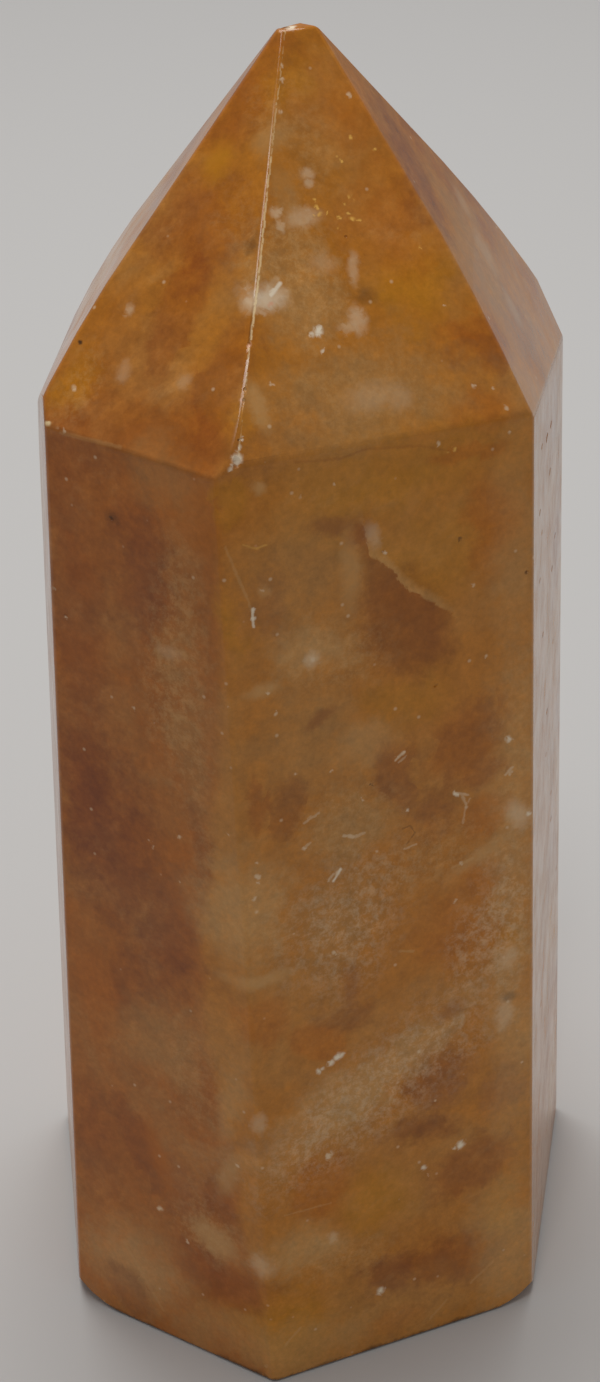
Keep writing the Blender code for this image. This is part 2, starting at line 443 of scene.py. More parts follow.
# Smears lie close under the polish, and their edges splinter a little.
SMEARS = MarkLayer(0.65, {
    "honey": {
        0.52: (
            ((-4.0, -5.4, 75.1), 0.75, 0.85, 15, -32),
        ),
    },
    "amber": {
        0.38: (
            ((-9.3, -14.7, 14.6), 0.66, 2.7, -20, -33),
        ),
    },
    "umber": {
        0.38: (
            ((0.9, -16.5, 47.0), 0.84, 0.32, -25, 23), ((8.3, -13.7, 24.7), 1, 0.63, -20, 23),
        ),
    },
    "plum": {
        0.38: (
            ((1.9, -15.9, 58.7), 1.5, 0.5, 10, 23), ((2.4, -16.2, 28.5), 0.63, 1.3, 0, 23),
        ),
        0.52: (
            ((3.2, -15.3, 57.9), 0.81, 0.81, 20, 23),
        ),
    },
    "buff": {
        0.38: (
            ((-5.1, -17.5, 15.4), 0.58, 1.7, 20, -33), ((2.6, -15.6, 55.9), 0.53, 2.1, 0, 23),
            ((-2.0, -17.6, 55.7), 0.35, 0.37, 0, 23), ((9.9, -12.9, 35.0), 1.8, 0.41, -25, 23),
        ),
        0.52: (
            ((-2.0, -15.8, 65.6), 0.46, 1, 5, 24), ((-6.0, -16.8, 9.9), 1.8, 1, 30, -33),
            ((-2.2, -17.8, 49.6), 0.94, 0.44, 0, 23), ((-2.1, -17.5, 61.9), 0.34, 0.37, 0, 23),
            ((-2.7, -18.4, 30.6), 1.7, 0.47, 0, 23),
        ),
    },
    "pink_buff": {
        0.38: (
            ((-0.3, -7.8, 73.8), 0.75, 1.4, 0, 25),
        ),
        0.52: (
            ((-1.3, -5.9, 76.2), 0.75, 0.59, 0, -32),
        ),
    },
    "ash": {
        0.2: (
            ((-9.1, -12.0, 66.1), 0.37, 0.42, 0, -31), ((-5.9, -13.8, 66.2), 0.37, 0.34, 0, -31),
            ((1.5, -9.5, 71.0), 0.7, 0.42, 0, 25), ((4.0, -13.5, 65.0), 1.5, 0.59, 0, 24),
            ((5.3, -13.1, 64.7), 0.7, 0.51, 0, 24), ((10.7, -0.0, 67.4), 1.1, 0.99, -35, 86),
            ((9.6, 2.2, 69.5), 0.81, 0.63, -35, 86), ((12.2, -1.5, 64.6), 0.96, 0.81, -25, 86),
            ((-7.1, -16.5, 51.3), 0.72, 0.44, 0, -33),
        ),
        0.38: (
            ((-8.8, -9.7, 68.5), 0.25, 0.26, 0, -31), ((0.6, -8.2, 72.9), 0.99, 0.38, 0, 25),
            ((0.8, -6.5, 74.7), 0.35, 0.21, 0, 25), ((0.9, -6.9, 74.3), 0.23, 0.17, 0, 25),
            ((-0.7, -8.9, 72.8), 0.17, 0.25, 0, 25), ((3.0, -11.5, 68.1), 0.7, 0.25, 0, 25),
            ((3.2, -9.1, 70.5), 0.29, 0.64, 20, 25), ((11.9, -12.2, 27.3), 0.58, 0.77, 0, 23),
            ((11.7, -12.3, 23.2), 0.52, 0.99, 0, 23), ((-3.0, -18.7, 20.5), 0.38, 0.69, 0, 23),
            ((-3.3, -18.7, 9.3), 0.66, 0.78, 0, -33), ((1.1, -17.1, 10.2), 0.33, 0.43, 0, 23),
            # The first mark on this line is part of the painted star of light on the front arris.
            ((-2.5, -12.1, 69.8), 0.45, 0.35, 0, -31), ((3.9, -15.0, 57.5), 0.41, 0.75, -15, 23),
        ),
        0.52: (
            ((-0.9, -8.5, 73.4), 0.29, 0.21, 0, 25), ((3.3, -11.1, 68.3), 0.46, 0.59, 20, 25),
            ((0.5, -16.6, 50.8), 0.47, 0.51, 0, 23), ((12.3, -11.8, 37.3), 0.63, 1, -25, 23),
        ),
    },
    "chalk": {
        0.52: (
            # The painted highlight in the middle of the star on the front arris, where a crack
            # inside catches the light.
            ((-1.4, -11.8, 70.0), 0.95, 0.5, 0, 25),
        ),
    },
    "soot": {
        0.38: (
            ((3.8, -10.1, 69.2), 0.58, 0.34, 0, 25), ((-10.0, -14.6, 58.7), 0.38, 0.31, 0, -33),
            ((12.1, -12.1, 24.4), 0.52, 0.35, 0, 23),
        ),
        0.52: (
            ((-2.1, -9.8, 72.2), 0.37, 0.5, 15, -32),
        ),
    },
})

# Flecks: tiny flaws in the crystal that catch the light, by tone and radius. The gold ones are
# painted glints.
FLECKS = {
    "chalk": {
        0.11: (
            (-2.9, -17.1, 64.4), (-2.5, -17.9, 54.7),
        ),
        0.14: (
            (-3.0, -17.4, 64.1), (1.4, -12.8, 67.4), (-2.5, -17.9, 54.2), (4.5, -14.8, 56.4),
            (5.7, -14.6, 39.5), (8.6, -13.8, 14.2),
        ),
        0.18: (
            (-3.4, -18.0, 63.3), (0.9, -12.4, 68.1), (8.7, -13.3, 39.7), (12.9, -11.5, 37.1),
            (0.7, -17.1, 23.1),
        ),
        0.24: (
            (1.1, -16.9, 23.4), (1.8, -16.6, 23.7), (0.4, -17.2, 23.0), (6.8, -14.6, 13.4),
            (11.6, -12.0, 42.5),
        ),
        0.32: (
            (0.1, -0.9, 80.9), (-3.1, -17.7, 63.6), (1.2, -12.1, 68.2), (1.5, -16.7, 23.7),
            (9.0, -13.6, 14.3), (4.0, -16.0, 4.7),
        ),
    },
    "ash": {
        0.11: (
            (-0.4, -2.8, 79.4), (-1.5, -17.5, 47.9), (-4.1, -18.5, 49.0), (-8.2, -15.7, 46.4),
            (-9.4, -14.9, 46.9), (-8.7, -15.3, 37.9), (-7.3, -16.2, 36.1), (-2.8, -18.3, 38.7),
            (-2.8, -18.3, 37.4), (5.2, -14.8, 43.2), (1.5, -16.3, 43.4), (-0.5, -17.2, 43.9),
            (9.2, -13.1, 38.9), (-4.7, -18.0, 34.6), (8.6, -13.5, 32.4), (7.1, -14.5, 12.7),
            (7.5, -14.2, 18.4), (12.9, -11.9, 19.2), (8.0, -9.0, 68.3), (8.1, -8.0, 69.4),
            (10.5, -11.1, 64.2), (11.4, -11.7, 61.8), (-13.6, -12.2, 53.1), (-13.0, -12.6, 51.6),
            (9.6, -12.7, 53.1), (10.4, -12.4, 48.3), (-4.4, -18.2, 40.7), (0.2, -16.9, 40.8),
            (-0.9, -17.6, 33.2), (4.1, -15.3, 37.3), (3.2, -15.7, 41.0), (12.4, -12.0, 21.7),
        ),
        0.14: (
            (3.2, -2.7, 77.7), (-0.4, -3.3, 78.8), (-0.5, -4.5, 77.6), (-12.8, -12.8, 63.2),
            (-12.4, -13.0, 63.1), (1.9, -15.8, 61.0), (-1.9, -17.7, 49.4), (-8.9, -15.2, 38.3),
            (-7.2, -16.3, 39.2), (5.5, -14.6, 43.4), (11.8, -11.9, 40.2), (9.0, -13.2, 35.0),
            (-3.0, -18.4, 36.2), (10.7, -12.6, 29.1), (-7.8, -15.7, 8.7), (-4.6, -17.9, 16.5),
            (9.5, -11.4, 64.4), (11.1, -11.5, 63.2), (7.5, -13.4, 62.1), (-1.3, -14.8, 66.4),
            (-2.1, -17.6, 55.8), (0.0, -16.6, 60.9), (0.0, -17.1, 38.8), (1.5, -16.6, 31.1),
        ),
        0.18: (
            (-11.9, -11.5, 64.9), (0.5, -16.6, 50.8), (-2.8, -18.3, 37.8), (1.6, -16.4, 36.6),
            (6.5, -14.6, 22.4),
        ),
        0.24: (
            (0.9, -17.1, 16.5), (-9.4, -14.6, 10.6),
        ),
    },
    "rose": {
        0.11: (
            (-2.3, -17.7, 58.5),
        ),
        0.14: (
            # The last of these is part of the painted star of light on the front arris; the
            # others sit on chips.
            (-2.4, -13.7, 68.3), (-2.7, -15.4, 66.5), (-2.8, -15.8, 66.0), (-1.3, -12.0, 69.7),
        ),
    },
    # Painted glints: sparkles where cracks inside the stone catch the light.
    "gold": {
        0.11: (
            (1.9, -7.5, 73.0), (1.7, -7.8, 72.8), (3.0, -7.2, 72.8), (3.3, -6.6, 73.3),
            (2.8, -6.9, 73.2), (2.6, -7.5, 72.6), (2.6, -8.0, 72.2), (1.2, -7.3, 73.6),
            (3.1, -4.4, 75.9), (2.4, -5.3, 75.2), (2.6, -5.4, 75.0), (6.7, -7.3, 70.8),
            (8.0, -13.2, 61.5),
        ),
        0.14: (
            (1.3, -7.5, 73.3), (1.2, -7.9, 72.9), (1.4, -8.0, 72.8), (3.2, -7.3, 72.5),
            (3.5, -7.3, 72.5), (3.1, -6.5, 73.5), (4.4, -4.4, 75.1), (8.3, -13.1, 61.6),
        ),
        0.18: (
            (1.5, -7.7, 73.0),
        ),
    },
    "soot": {
        0.11: (
            (7.3, -13.7, 47.2), (12.5, -11.4, 53.1), (3.7, -15.4, 41.9),
        ),
        0.14: (
            (8.6, -13.0, 56.1), (-10.0, -14.6, 58.6),
        ),
    },
}

# Lines by tone: scuffed arrises with a painted highlight along them, a painted highlight in a
# star on the front arris, painted glints, hairline cracks and thin veins. Each runs from start
# to end, with a half width and a strength.
LINES = {
    "umber": (
        ((-0.1, -16.7, 62.8), (2.2, -15.7, 62.5), 0.08, 0.22),
        ((2.2, -15.7, 62.5), (3.6, -15.1, 62.7), 0.08, 0.24),
        ((3.6, -15.1, 62.7), (6.5, -13.8, 62.2), 0.08, 0.2),
        ((6.5, -13.8, 62.2), (8.1, -13.1, 61.5), 0.07, 0.16),
    ),
    "buff": (
        ((-3.9, -18.4, 58.8), (-3.5, -18.2, 57.4), 0.07, 0.25),
        ((-3.5, -18.2, 57.4), (-2.9, -18.0, 55.6), 0.08, 0.3),
        ((-2.9, -18.0, 55.6), (-2.6, -17.9, 54.5), 0.06, 0.25),
        ((8.4, -13.5, 34.8), (9.6, -13.0, 35.1), 0.08, 0.35),
        ((5.3, -14.9, 30.0), (6.1, -14.6, 29.7), 0.08, 0.4),
        ((-3.2, -18.6, 1.1), (-1.8, -18.5, 3.0), 0.1, 0.45),
        ((-1.8, -18.5, 3.0), (-1.0, -18.2, 3.8), 0.08, 0.4),
        ((-1.8, -18.3, 13.0), (1.0, -17.1, 12.9), 0.06, 0.35),
        ((-12.0, -12.9, 6.4), (-9.7, -14.4, 2.0), 0.1, 0.2),
        ((9.8, -13.5, 3.0), (11.2, -12.9, 4.1), 0.08, 0.35),
        ((7.2, -14.7, 1.1), (8.2, -14.2, 2.2), 0.08, 0.3),
        ((-12.6, -12.9, 63.0), (-9.4, -15.0, 63.1), 0.1, 0.25),
    ),
    "ash": (
        # The first five ash lines are a painted highlight: a star where a crack inside the stone
        # catches the light on the front arris.
        ((-1.7, -12.1, 69.8), (-1.2, -11.5, 70.1), 0.22, 0.4),
        ((-1.1, -11.6, 70.0), (-0.5, -11.3, 70.1), 0.2, 0.3),
        ((-2.5, -11.9, 70.0), (-2.0, -12.3, 69.6), 0.12, 0.3),
        ((-1.4, -11.4, 70.4), (-0.9, -10.9, 70.7), 0.14, 0.25),
        ((-2.1, -12.4, 69.6), (-1.6, -12.4, 69.4), 0.12, 0.35),
        ((8.5, -13.4, 39.9), (9.3, -13.0, 39.5), 0.08, 0.5),
        ((8.9, -13.2, 39.7), (9.2, -13.1, 38.9), 0.08, 0.4),
        ((9.2, -13.1, 38.9), (9.0, -13.2, 37.7), 0.06, 0.3),
        ((1.5, -16.5, 36.6), (1.2, -16.6, 36.2), 0.07, 0.5),
        ((5.1, -14.8, 43.1), (5.6, -14.6, 43.5), 0.08, 0.7),
        ((5.3, -14.7, 42.9), (5.7, -14.5, 43.2), 0.06, 0.4),
        ((2.1, -16.1, 39.0), (2.7, -15.9, 38.7), 0.09, 0.6),
        ((2.7, -15.9, 38.7), (3.3, -15.7, 38.8), 0.09, 0.45),
        ((-0.1, -17.1, 40.5), (0.7, -16.7, 40.9), 0.07, 0.4),
        ((-0.2, -17.2, 38.8), (0.2, -17.0, 39.1), 0.07, 0.4),
        ((5.6, -14.7, 37.0), (6.3, -14.4, 37.1), 0.06, 0.4),
        ((9.4, -13.0, 39.2), (9.3, -13.1, 38.9), 0.06, 0.3),
        ((11.5, -12.1, 40.2), (11.9, -11.9, 40.6), 0.07, 0.5),
    ),
    "chalk": (
        ((-2.6, -17.9, 54.8), (-2.6, -17.9, 53.7), 0.07, 0.7),
        # This chalk line is part of the same painted star of light.
        ((-1.25, -11.55, 70.1), (-0.72, -11.0, 70.5), 0.1, 0.8),
        ((1.9, -16.3, 36.8), (1.5, -16.5, 36.1), 0.08, 0.8),
    ),
    # Cream: pale lines along the front arris and the left shoulder, worn, and partly a painted
    # highlight where the arris catches the light.
    "cream": (
        ((-0.2, -1.3, 80.9), (-1.1, -6.4, 75.7), 0.04, 0.3),
        ((-1.1, -6.4, 75.7), (-1.9, -11.3, 70.7), 0.05, 0.52),
        ((-1.9, -11.3, 70.7), (-2.4, -13.8, 68.2), 0.05, 0.6),
        ((-2.4, -13.8, 68.2), (-3.1, -17.6, 63.8), 0.045, 0.4),
        ((-14.3, -4.6, 60.3), (-13.3, -12.4, 63.3), 0.12, 0.7),
    ),
    "rose": (
        # This rose line is part of the same painted star of light.
        ((-1.35, -12.0, 69.7), (-1.2, -11.9, 69.75), 0.07, 0.6),
    ),
    # Painted glints along a crack inside the stone.
    "gold": (
        ((-3.0, -18.0, 58.7), (-2.3, -17.7, 58.3), 0.06, 0.22),
        ((-2.3, -17.7, 58.3), (-1.8, -17.5, 58.4), 0.06, 0.3),
    ),
    "soot": (
        ((-12.7, -3.4, 64.1), (-11.5, -9.8, 66.8), 0.09, 0.9),
        ((5.5, -14.7, 38.4), (5.9, -14.5, 38.5), 0.05, 0.35),
        ((5.9, -14.5, 38.5), (6.2, -14.4, 37.9), 0.05, 0.35),
        ((6.2, -14.4, 37.9), (5.7, -14.6, 37.3), 0.05, 0.35),
    ),
}

# The healed fracture on the right front facet, with a bright lip that is a painted highlight:
# how far along the facet, and how high.
FRACTURE = (
    (-4.8, 59.3), (-2.87, 58.3), (-2.6, 56.31), (-1.6, 55.52), (-0.72, 54.27), (-0.12, 53.63),
    (1.03, 52.67), (2.49, 51.37), (3.29, 50.1), (4.11, 48.81), (6.0, 47.0),
)
FACET_TURN = math.radians(23.3)

# Where the rose brown on the left ends and the ochre begins, near the front arris: how high,
# and how far to the right.
HUE_EDGE = (
    (0.0, -3.0), (7.7, -3.3), (12.6, -4.5), (17.3, -4.6), (20.7, -5.3), (25.6, -6.1),
    (31.4, -6.1), (35.8, -5.8), (41.5, -5.1), (46.7, -4.5), (58.3, -4.2), (66.0, -3.8),
)


# Edges that ease in and out. A smoothstep stays between its ends by itself, so it isn't clamped.
EASED = {"interpolation_type": "SMOOTHSTEP", "clamp": False}


def follow_edge(tree, along, points):
    """How far across a traced edge lies at each place along it."""
    low, high = points[0][0], points[-1][0]
    least, most = min(p[1] for p in points), max(p[1] for p in points)
    share = add_node(tree, "MapRange", {0: along, 1: low, 2: high})
    bend = add_node(tree, "FloatCurve", {"Value": share.outputs["Result"]})
    curve = bend.mapping.curves[0]
    spots = [((a - low) / (high - low), (b - least) / (most - least)) for a, b in points]
    curve.points[0].location = spots[0]
    curve.points[1].location = spots[-1]
    for spot in spots[1:-1]:
        curve.points.new(*spot)
    for spot in curve.points:
        spot.handle_type = "VECTOR"
    bend.mapping.update()
    return add_node(
        tree, "Math", {0: bend.outputs[0], 1: most - least, 2: least}, operation="MULTIPLY_ADD"
    ).outputs[0]


def squeeze_depth(tree, space, turn):
    """The same places, with their depth under one facet squeezed."""
    depth = add_node(tree, "VectorMath", {0: space, 1: way_out(turn, 0.0)}, operation="PROJECT")
    return add_node(
        tree,
        "VectorMath",
        {0: depth.outputs["Vector"], 1: (-DEPTH_SQUEEZE,) * 3, 2: space},
        operation="MULTIPLY_ADD",
    ).outputs["Vector"]


def mark_reach(tree, mark, space, squeezed):
    """How far each place lies from a mark's middle, counted so that its edge is at 1."""
    middle = Vector(mark.place)
    if abs(mark.lean) < LEAST_LEAN:
        middle -= DEPTH_SQUEEZE * middle.project(way_out(mark.azimuth, 0.0))
        stretch = Vector((1 / mark.half_width, 1 / mark.half_width, 1 / mark.half_height))
        local = add_node(
            tree,
            "VectorMath",
            {0: squeezed[mark.azimuth], 1: stretch, 2: -middle * stretch},
            operation="MULTIPLY_ADD",
        )
        reach = add_node(tree, "VectorMath", {0: local.outputs[0]}, operation="LENGTH")
        return reach.outputs["Value"]
    turn, lean = math.radians(mark.azimuth), math.radians(mark.lean)
    level = Vector((math.cos(turn), math.sin(turn), 0.0))
    upright = Vector((0.0, 0.0, 1.0))
    width_way = (level * math.cos(lean) - upright * math.sin(lean)) / mark.half_width
    height_way = (level * math.sin(lean) + upright * math.cos(lean)) / mark.half_height
    across, along = (
        add_node(tree, "VectorMath", {0: space, 1: way}, operation="DOT_PRODUCT")
        for way in (width_way, height_way)
    )
    local = add_node(tree, "CombineXYZ", {0: across.outputs["Value"], 1: along.outputs["Value"]})
    here = (middle.dot(width_way), middle.dot(height_way), 0.0)
    reach = add_node(tree, "VectorMath", {0: local.outputs[0], 1: here}, operation="DISTANCE")
    return reach.outputs["Value"]


def take_in(tree, operation, so_far, value):
    """Takes one more value into a running MINIMUM or MAXIMUM."""
    if so_far is None:
        return value
    return add_node(tree, "Math", {0: so_far, 1: value}, operation=operation).outputs[0]


def lay_marks(tree, what, colour, space, jitter, clots):
    """Lays marks over a colour, tone by tone. Jitter frays their edges, and clots mottle them."""
    rows = [row for grades in what.marks.values() for marks in grades.values() for row in marks]
    turns = sorted({Mark(*row).azimuth for row in rows})
    squeezed = {turn: squeeze_depth(tree, space, turn) for turn in turns}
    for tone, grades in what.marks.items():
        amount = None
        # Marks of one strength share their edge, which saves a little render time.
        for strength, marks in grades.items():
            nearest = None
            for row in marks:
                reach = mark_reach(tree, Mark(*row), space, squeezed)
                nearest = take_in(tree, "MINIMUM", nearest, reach)
            frayed = add_node(tree, "Math", {0: nearest, 1: jitter}, operation="ADD")
            edge = add_node(
                tree,
                "MapRange",
                {
                    0: frayed.outputs[0],
                    1: 1.0 - what.softness,
                    2: 1.0 + what.softness,
                    3: strength,
                    4: 0.0,
                },
                **EASED,
            )
            amount = take_in(tree, "MAXIMUM", amount, edge.outputs["Result"])
        amount = add_node(tree, "Math", {0: amount, 1: clots}, operation="MULTIPLY")
        colour = add_node(
            tree,
            "Mix",
            {0: amount.outputs[0], 6: colour, 7: linear(TONES[tone])},
            data_type="RGBA",
        ).outputs[2]
    return colour


def lay_flecks(tree, flecks, colour, space):
    """Lays the tiny flecks over a colour: the smaller a fleck, the fainter it is."""
    for tone, sizes in flecks.items():
        amount = None
        for radius, places in sizes.items():
            nearest = None
            for place in places:
                reach = add_node(tree, "VectorMath", {0: space, 1: place}, operation="DISTANCE")
                nearest = take_in(tree, "MINIMUM", nearest, reach.outputs["Value"])
            edge = add_node(
                tree,
                "MapRange",
                {
                    0: nearest,
                    1: radius * 0.3,
                    2: radius * 1.4,
                    3: min(0.95, 0.45 + 1.6 * radius),
                    4: 0.0,
                },
                **EASED,
            )
            amount = take_in(tree, "MAXIMUM", amount, edge.outputs["Result"])
        colour = add_node(
            tree, "Mix", {0: amount, 6: colour, 7: linear(TONES[tone])}, data_type="RGBA"
        ).outputs[2]
    return colour


def lay_lines(tree, lines, colour, space):
    """Lays the thin lines over a colour, tone by tone."""
    for tone, runs in lines.items():
        amount = None
        for start, end, half_width, strength in runs:
            run = Vector(end) - Vector(start)
            offset = add_node(tree, "VectorMath", {0: space, 1: start}, operation="SUBTRACT")
            share = add_node(
                tree,
                "VectorMath",
                {0: offset.outputs[0], 1: run / run.length_squared},
                operation="DOT_PRODUCT",
            )
            held = add_node(tree, "Clamp", {"Value": share.outputs["Value"]})
            foot = add_node(
                tree, "VectorMath", {0: run, "Scale": held.outputs["Result"]}, operation="SCALE"
            )
            reach = add_node(
                tree,
                "VectorMath",
                {0: offset.outputs[0], 1: foot.outputs[0]},
                operation="DISTANCE",
            )
            edge = add_node(
                tree,
                "MapRange",
                {
                    0: reach.outputs["Value"],
                    1: half_width * 0.4,
                    2: half_width * 1.8,
                    3: strength,
                    4: 0.0,
                },
                **EASED,
            )
            amount = take_in(tree, "MAXIMUM", amount, edge.outputs["Result"])
        colour = add_node(
            tree, "Mix", {0: amount, 6: colour, 7: linear(TONES[tone])}, data_type="RGBA"
        ).outputs[2]
    return colour


def layer(tree, name, lay, what, **feeds):
    """Lays marks, flecks or lines in a group of their own, fed with what they need."""
    group = bpy.data.node_groups.new(name, "ShaderNodeTree")
    kinds = {"colour": "Color", "space": "Vector", "jitter": "Float", "clots": "Float"}
    for label in feeds:
        group.interface.new_socket(label, in_out="INPUT", socket_type="NodeSocket" + kinds[label])
    group.interface.new_socket("colour", in_out="OUTPUT", socket_type="NodeSocketColor")
    fed = group.nodes.new("NodeGroupInput").outputs
    laid = lay(group, what, *[fed[label] for label in feeds])
    group.links.new(laid, group.nodes.new("NodeGroupOutput").inputs[0])
    return add_node(tree, "Group", feeds, node_tree=group).outputs[0]


def lay_fracture(tree, colour, space):
    """Lays the healed fracture: darker below it, lighter above, with a pale lip between that is a
    painted highlight.
    """
    tangent = (math.cos(FACET_TURN), math.sin(FACET_TURN), 0.0)
    along = add_node(
        tree, "VectorMath", {0: space, 1: tangent}, operation="DOT_PRODUCT"
    ).outputs["Value"]
    edge = follow_edge(tree, along, FRACTURE)
    parts = add_node(tree, "SeparateXYZ", {0: space})
    above = add_node(
        tree, "Math", {0: parts.outputs["Z"], 1: edge}, operation="SUBTRACT"
    ).outputs[0]
    # The fracture only shows between its two ends, and not from the back of the stone.
    onset = add_node(tree, "MapRange", {0: along, 1: -3.4, 2: -2.6}).outputs["Result"]
    fade = add_node(
        tree, "MapRange", {0: along, 1: 1.5, 2: 2.9, 3: 1.0, 4: 0.0}
    ).outputs["Result"]
    front = add_node(
        tree, "MapRange", {0: parts.outputs["Y"], 1: -11.0, 2: -7.0, 3: 1.0, 4: 0.0}
    ).outputs["Result"]
    window = onset
    for limit in (fade, front):
        window = add_node(tree, "Math", {0: window, 1: limit}, operation="MULTIPLY").outputs[0]
    # Each tone's amount at a few heights above the edge.
    layers = (
        ("umber", ((-6.0, 0.0), (-2.5, 0.28), (-0.12, 0.42), (0.0, 0.0))),
        ("honey", ((0.0, 0.0), (0.1, 0.30), (1.0, 0.25), (3.0, 0.0))),
        # The buff lip is a painted highlight, where the fracture's edge catches the light.
        ("buff", ((-0.1, 0.0), (0.08, 0.42), (0.3, 0.34), (0.8, 0.0))),
    )
    for tone, stops in layers:
        amount = None
        for (z0, a0), (z1, a1) in zip(stops, stops[1:]):
            piece = add_node(
                tree, "MapRange", {0: above, 1: z0, 2: z1, 3: 0.0, 4: a1 - a0}
            ).outputs["Result"]
            amount = take_in(tree, "ADD", amount, piece)
        amount = add_node(tree, "Math", {0: amount, 1: window}, operation="MULTIPLY")
        colour = add_node(
            tree,
            "Mix",
            {0: amount.outputs[0], 6: colour, 7: linear(TONES[tone])},
            data_type="RGBA",
        ).outputs[2]
    return colour


def calcite():
    """Calcite, ground and polished on a wheel: cloudy and waxy, under a soft and uneven gloss."""
    material = bpy.data.materials.new("polished_orchid_calcite")
    material.use_nodes = True
    tree = material.node_tree
    shader = tree.nodes["Principled BSDF"]

    # Object coordinates in millimetres.
    place = add_node(tree, "TexCoord").outputs["Object"]
    mm = add_node(
        tree, "VectorMath", {0: place, 1: (1000.0, 1000.0, 1000.0)}, operation="MULTIPLY"
    ).outputs["Vector"]

    # Drift: the clouds' edges wander by about a millimetre. Ragged wanders a fifth as far.
    swirl = add_node(
        tree, "TexNoise", {"Vector": mm, "Scale": 0.28, "Detail": 4.0, "Roughness": 0.68}
    )
    sway = add_node(
        tree, "VectorMath", {0: swirl.outputs["Color"], 1: (0.5, 0.5, 0.5)}, operation="SUBTRACT"
    ).outputs["Vector"]
    drift, ragged = (
        add_node(
            tree, "VectorMath", {0: sway, 1: (far, far, far), 2: mm}, operation="MULTIPLY_ADD"
        ).outputs["Vector"]
        for far in (4.2, 0.9)
    )

    # Cleavage: small cells, sheared like calcite's own rhombs, step the blocks' edges.
    sheared = add_node(
        tree,
        "Mapping",
        {"Vector": ragged, "Rotation": (0.45, 0.35, 0.7), "Scale": (1.0, 1.0, 0.55)},
    )
    cells = add_node(tree, "TexVoronoi", {"Vector": sheared.outputs[0], "Scale": 0.9})
    step = add_node(
        tree, "VectorMath", {0: cells.outputs["Color"], 1: (0.5, 0.5, 0.5)}, operation="SUBTRACT"
    )
    cleaved = add_node(
        tree,
        "VectorMath",
        {0: step.outputs["Vector"], 1: (0.6, 0.6, 0.6), 2: ragged},
        operation="MULTIPLY_ADD",
    ).outputs["Vector"]

    # Curd: the cloudiness itself, in clots of about a millimetre and finer.
    curd = add_node(
        tree, "TexNoise", {"Vector": mm, "Scale": 0.7, "Detail": 5.0, "Roughness": 0.7}
    ).outputs["Fac"]
    fray, nick = (
        add_node(
            tree, "Math", {0: curd, 1: depth, 2: -depth / 2}, operation="MULTIPLY_ADD"
        ).outputs[0]
        for depth in (1.3, 0.6)
    )
    density = add_node(
        tree, "MapRange", {0: curd, 1: 0.3, 2: 0.7, 3: 1.2, 4: 0.75}
    ).outputs["Result"]
    # The marks belong to the front, so all but the veils end before the back facets.
    depths = add_node(tree, "SeparateXYZ", {0: mm})
    front = add_node(
        tree, "MapRange", {0: depths.outputs["Y"], 1: 4.0, 2: 8.0, 3: 1.0, 4: 0.0}
    ).outputs["Result"]
    clots = add_node(tree, "Math", {0: density, 1: front}, operation="MULTIPLY").outputs[0]

    # The body colour: ochre to the right and rose brown to the left of the traced edge.
    parts = add_node(tree, "SeparateXYZ", {0: ragged})
    hue_edge = follow_edge(tree, parts.outputs["Z"], HUE_EDGE)
    past_edge = add_node(
        tree, "Math", {0: parts.outputs["X"], 1: hue_edge}, operation="SUBTRACT"
    ).outputs[0]
    leftward = add_node(
        tree, "MapRange", {0: past_edge, 1: -0.6, 2: 0.5, 3: 1.0, 4: 0.0}, **EASED
    ).outputs["Result"]
    colour = add_node(
        tree, "Mix", {0: leftward, 6: linear(OCHRE), 7: linear(ROSE_BROWN)}, data_type="RGBA"
    ).outputs[2]
    drifting = add_node(tree, "SeparateXYZ", {0: drift})
    crownward = add_node(
        tree, "MapRange", {0: drifting.outputs["Z"], 1: 62.0, 2: 68.0}, **EASED
    ).outputs["Result"]
    colour = add_node(
        tree, "Mix", {0: crownward, 6: colour, 7: linear(CROWN_ORANGE)}, data_type="RGBA"
    ).outputs[2]

    # Folds: broad haze, in folds of about six millimetres.
    folds = add_node(
        tree, "TexNoise", {"Vector": drift, "Scale": 0.16, "Detail": 3.0, "Roughness": 0.6}
    )
    haze = add_node(
        tree, "MapRange", {0: folds.outputs["Fac"], 1: 0.38, 2: 0.7, 3: 0.0, 4: 0.35}, **EASED
    ).outputs["Result"]
    colour = add_node(
        tree, "Mix", {0: haze, 6: colour, 7: linear(TONES["pink_buff"])}, data_type="RGBA"
    ).outputs[2]

    # Round the back the same stone goes on, in banks of deep orange and of pale haze.
    backward = add_node(
        tree, "MapRange", {0: drifting.outputs["Y"], 1: -6.0, 2: 1.0}
    ).outputs["Result"]
    banks = add_node(
        tree, "TexNoise", {"Vector": drift, "Scale": 0.13, "Detail": 4.0, "Roughness": 0.62}
    ).outputs["Fac"]
    for tone, least, most, strength in (("deep_amber", 0.52, 0.36, 0.5), ("buff", 0.5, 0.7, 0.4)):
        bank = add_node(
            tree, "MapRange", {0: banks, 1: least, 2: most, 3: 0.0, 4: strength}, **EASED
        ).outputs["Result"]
        behind = add_node(tree, "Math", {0: bank, 1: backward}, operation="MULTIPLY").outputs[0]
        colour = add_node(
            tree, "Mix", {0: behind, 6: colour, 7: linear(TONES[tone])}, data_type="RGBA"
        ).outputs[2]

    colour = layer(
        tree, "clouds", lay_marks, CLOUDS, colour=colour, space=drift, jitter=fray, clots=clots
    )
    colour = layer(
        tree, "blocks", lay_marks, BLOCKS, colour=colour, space=cleaved, jitter=nick, clots=clots
    )

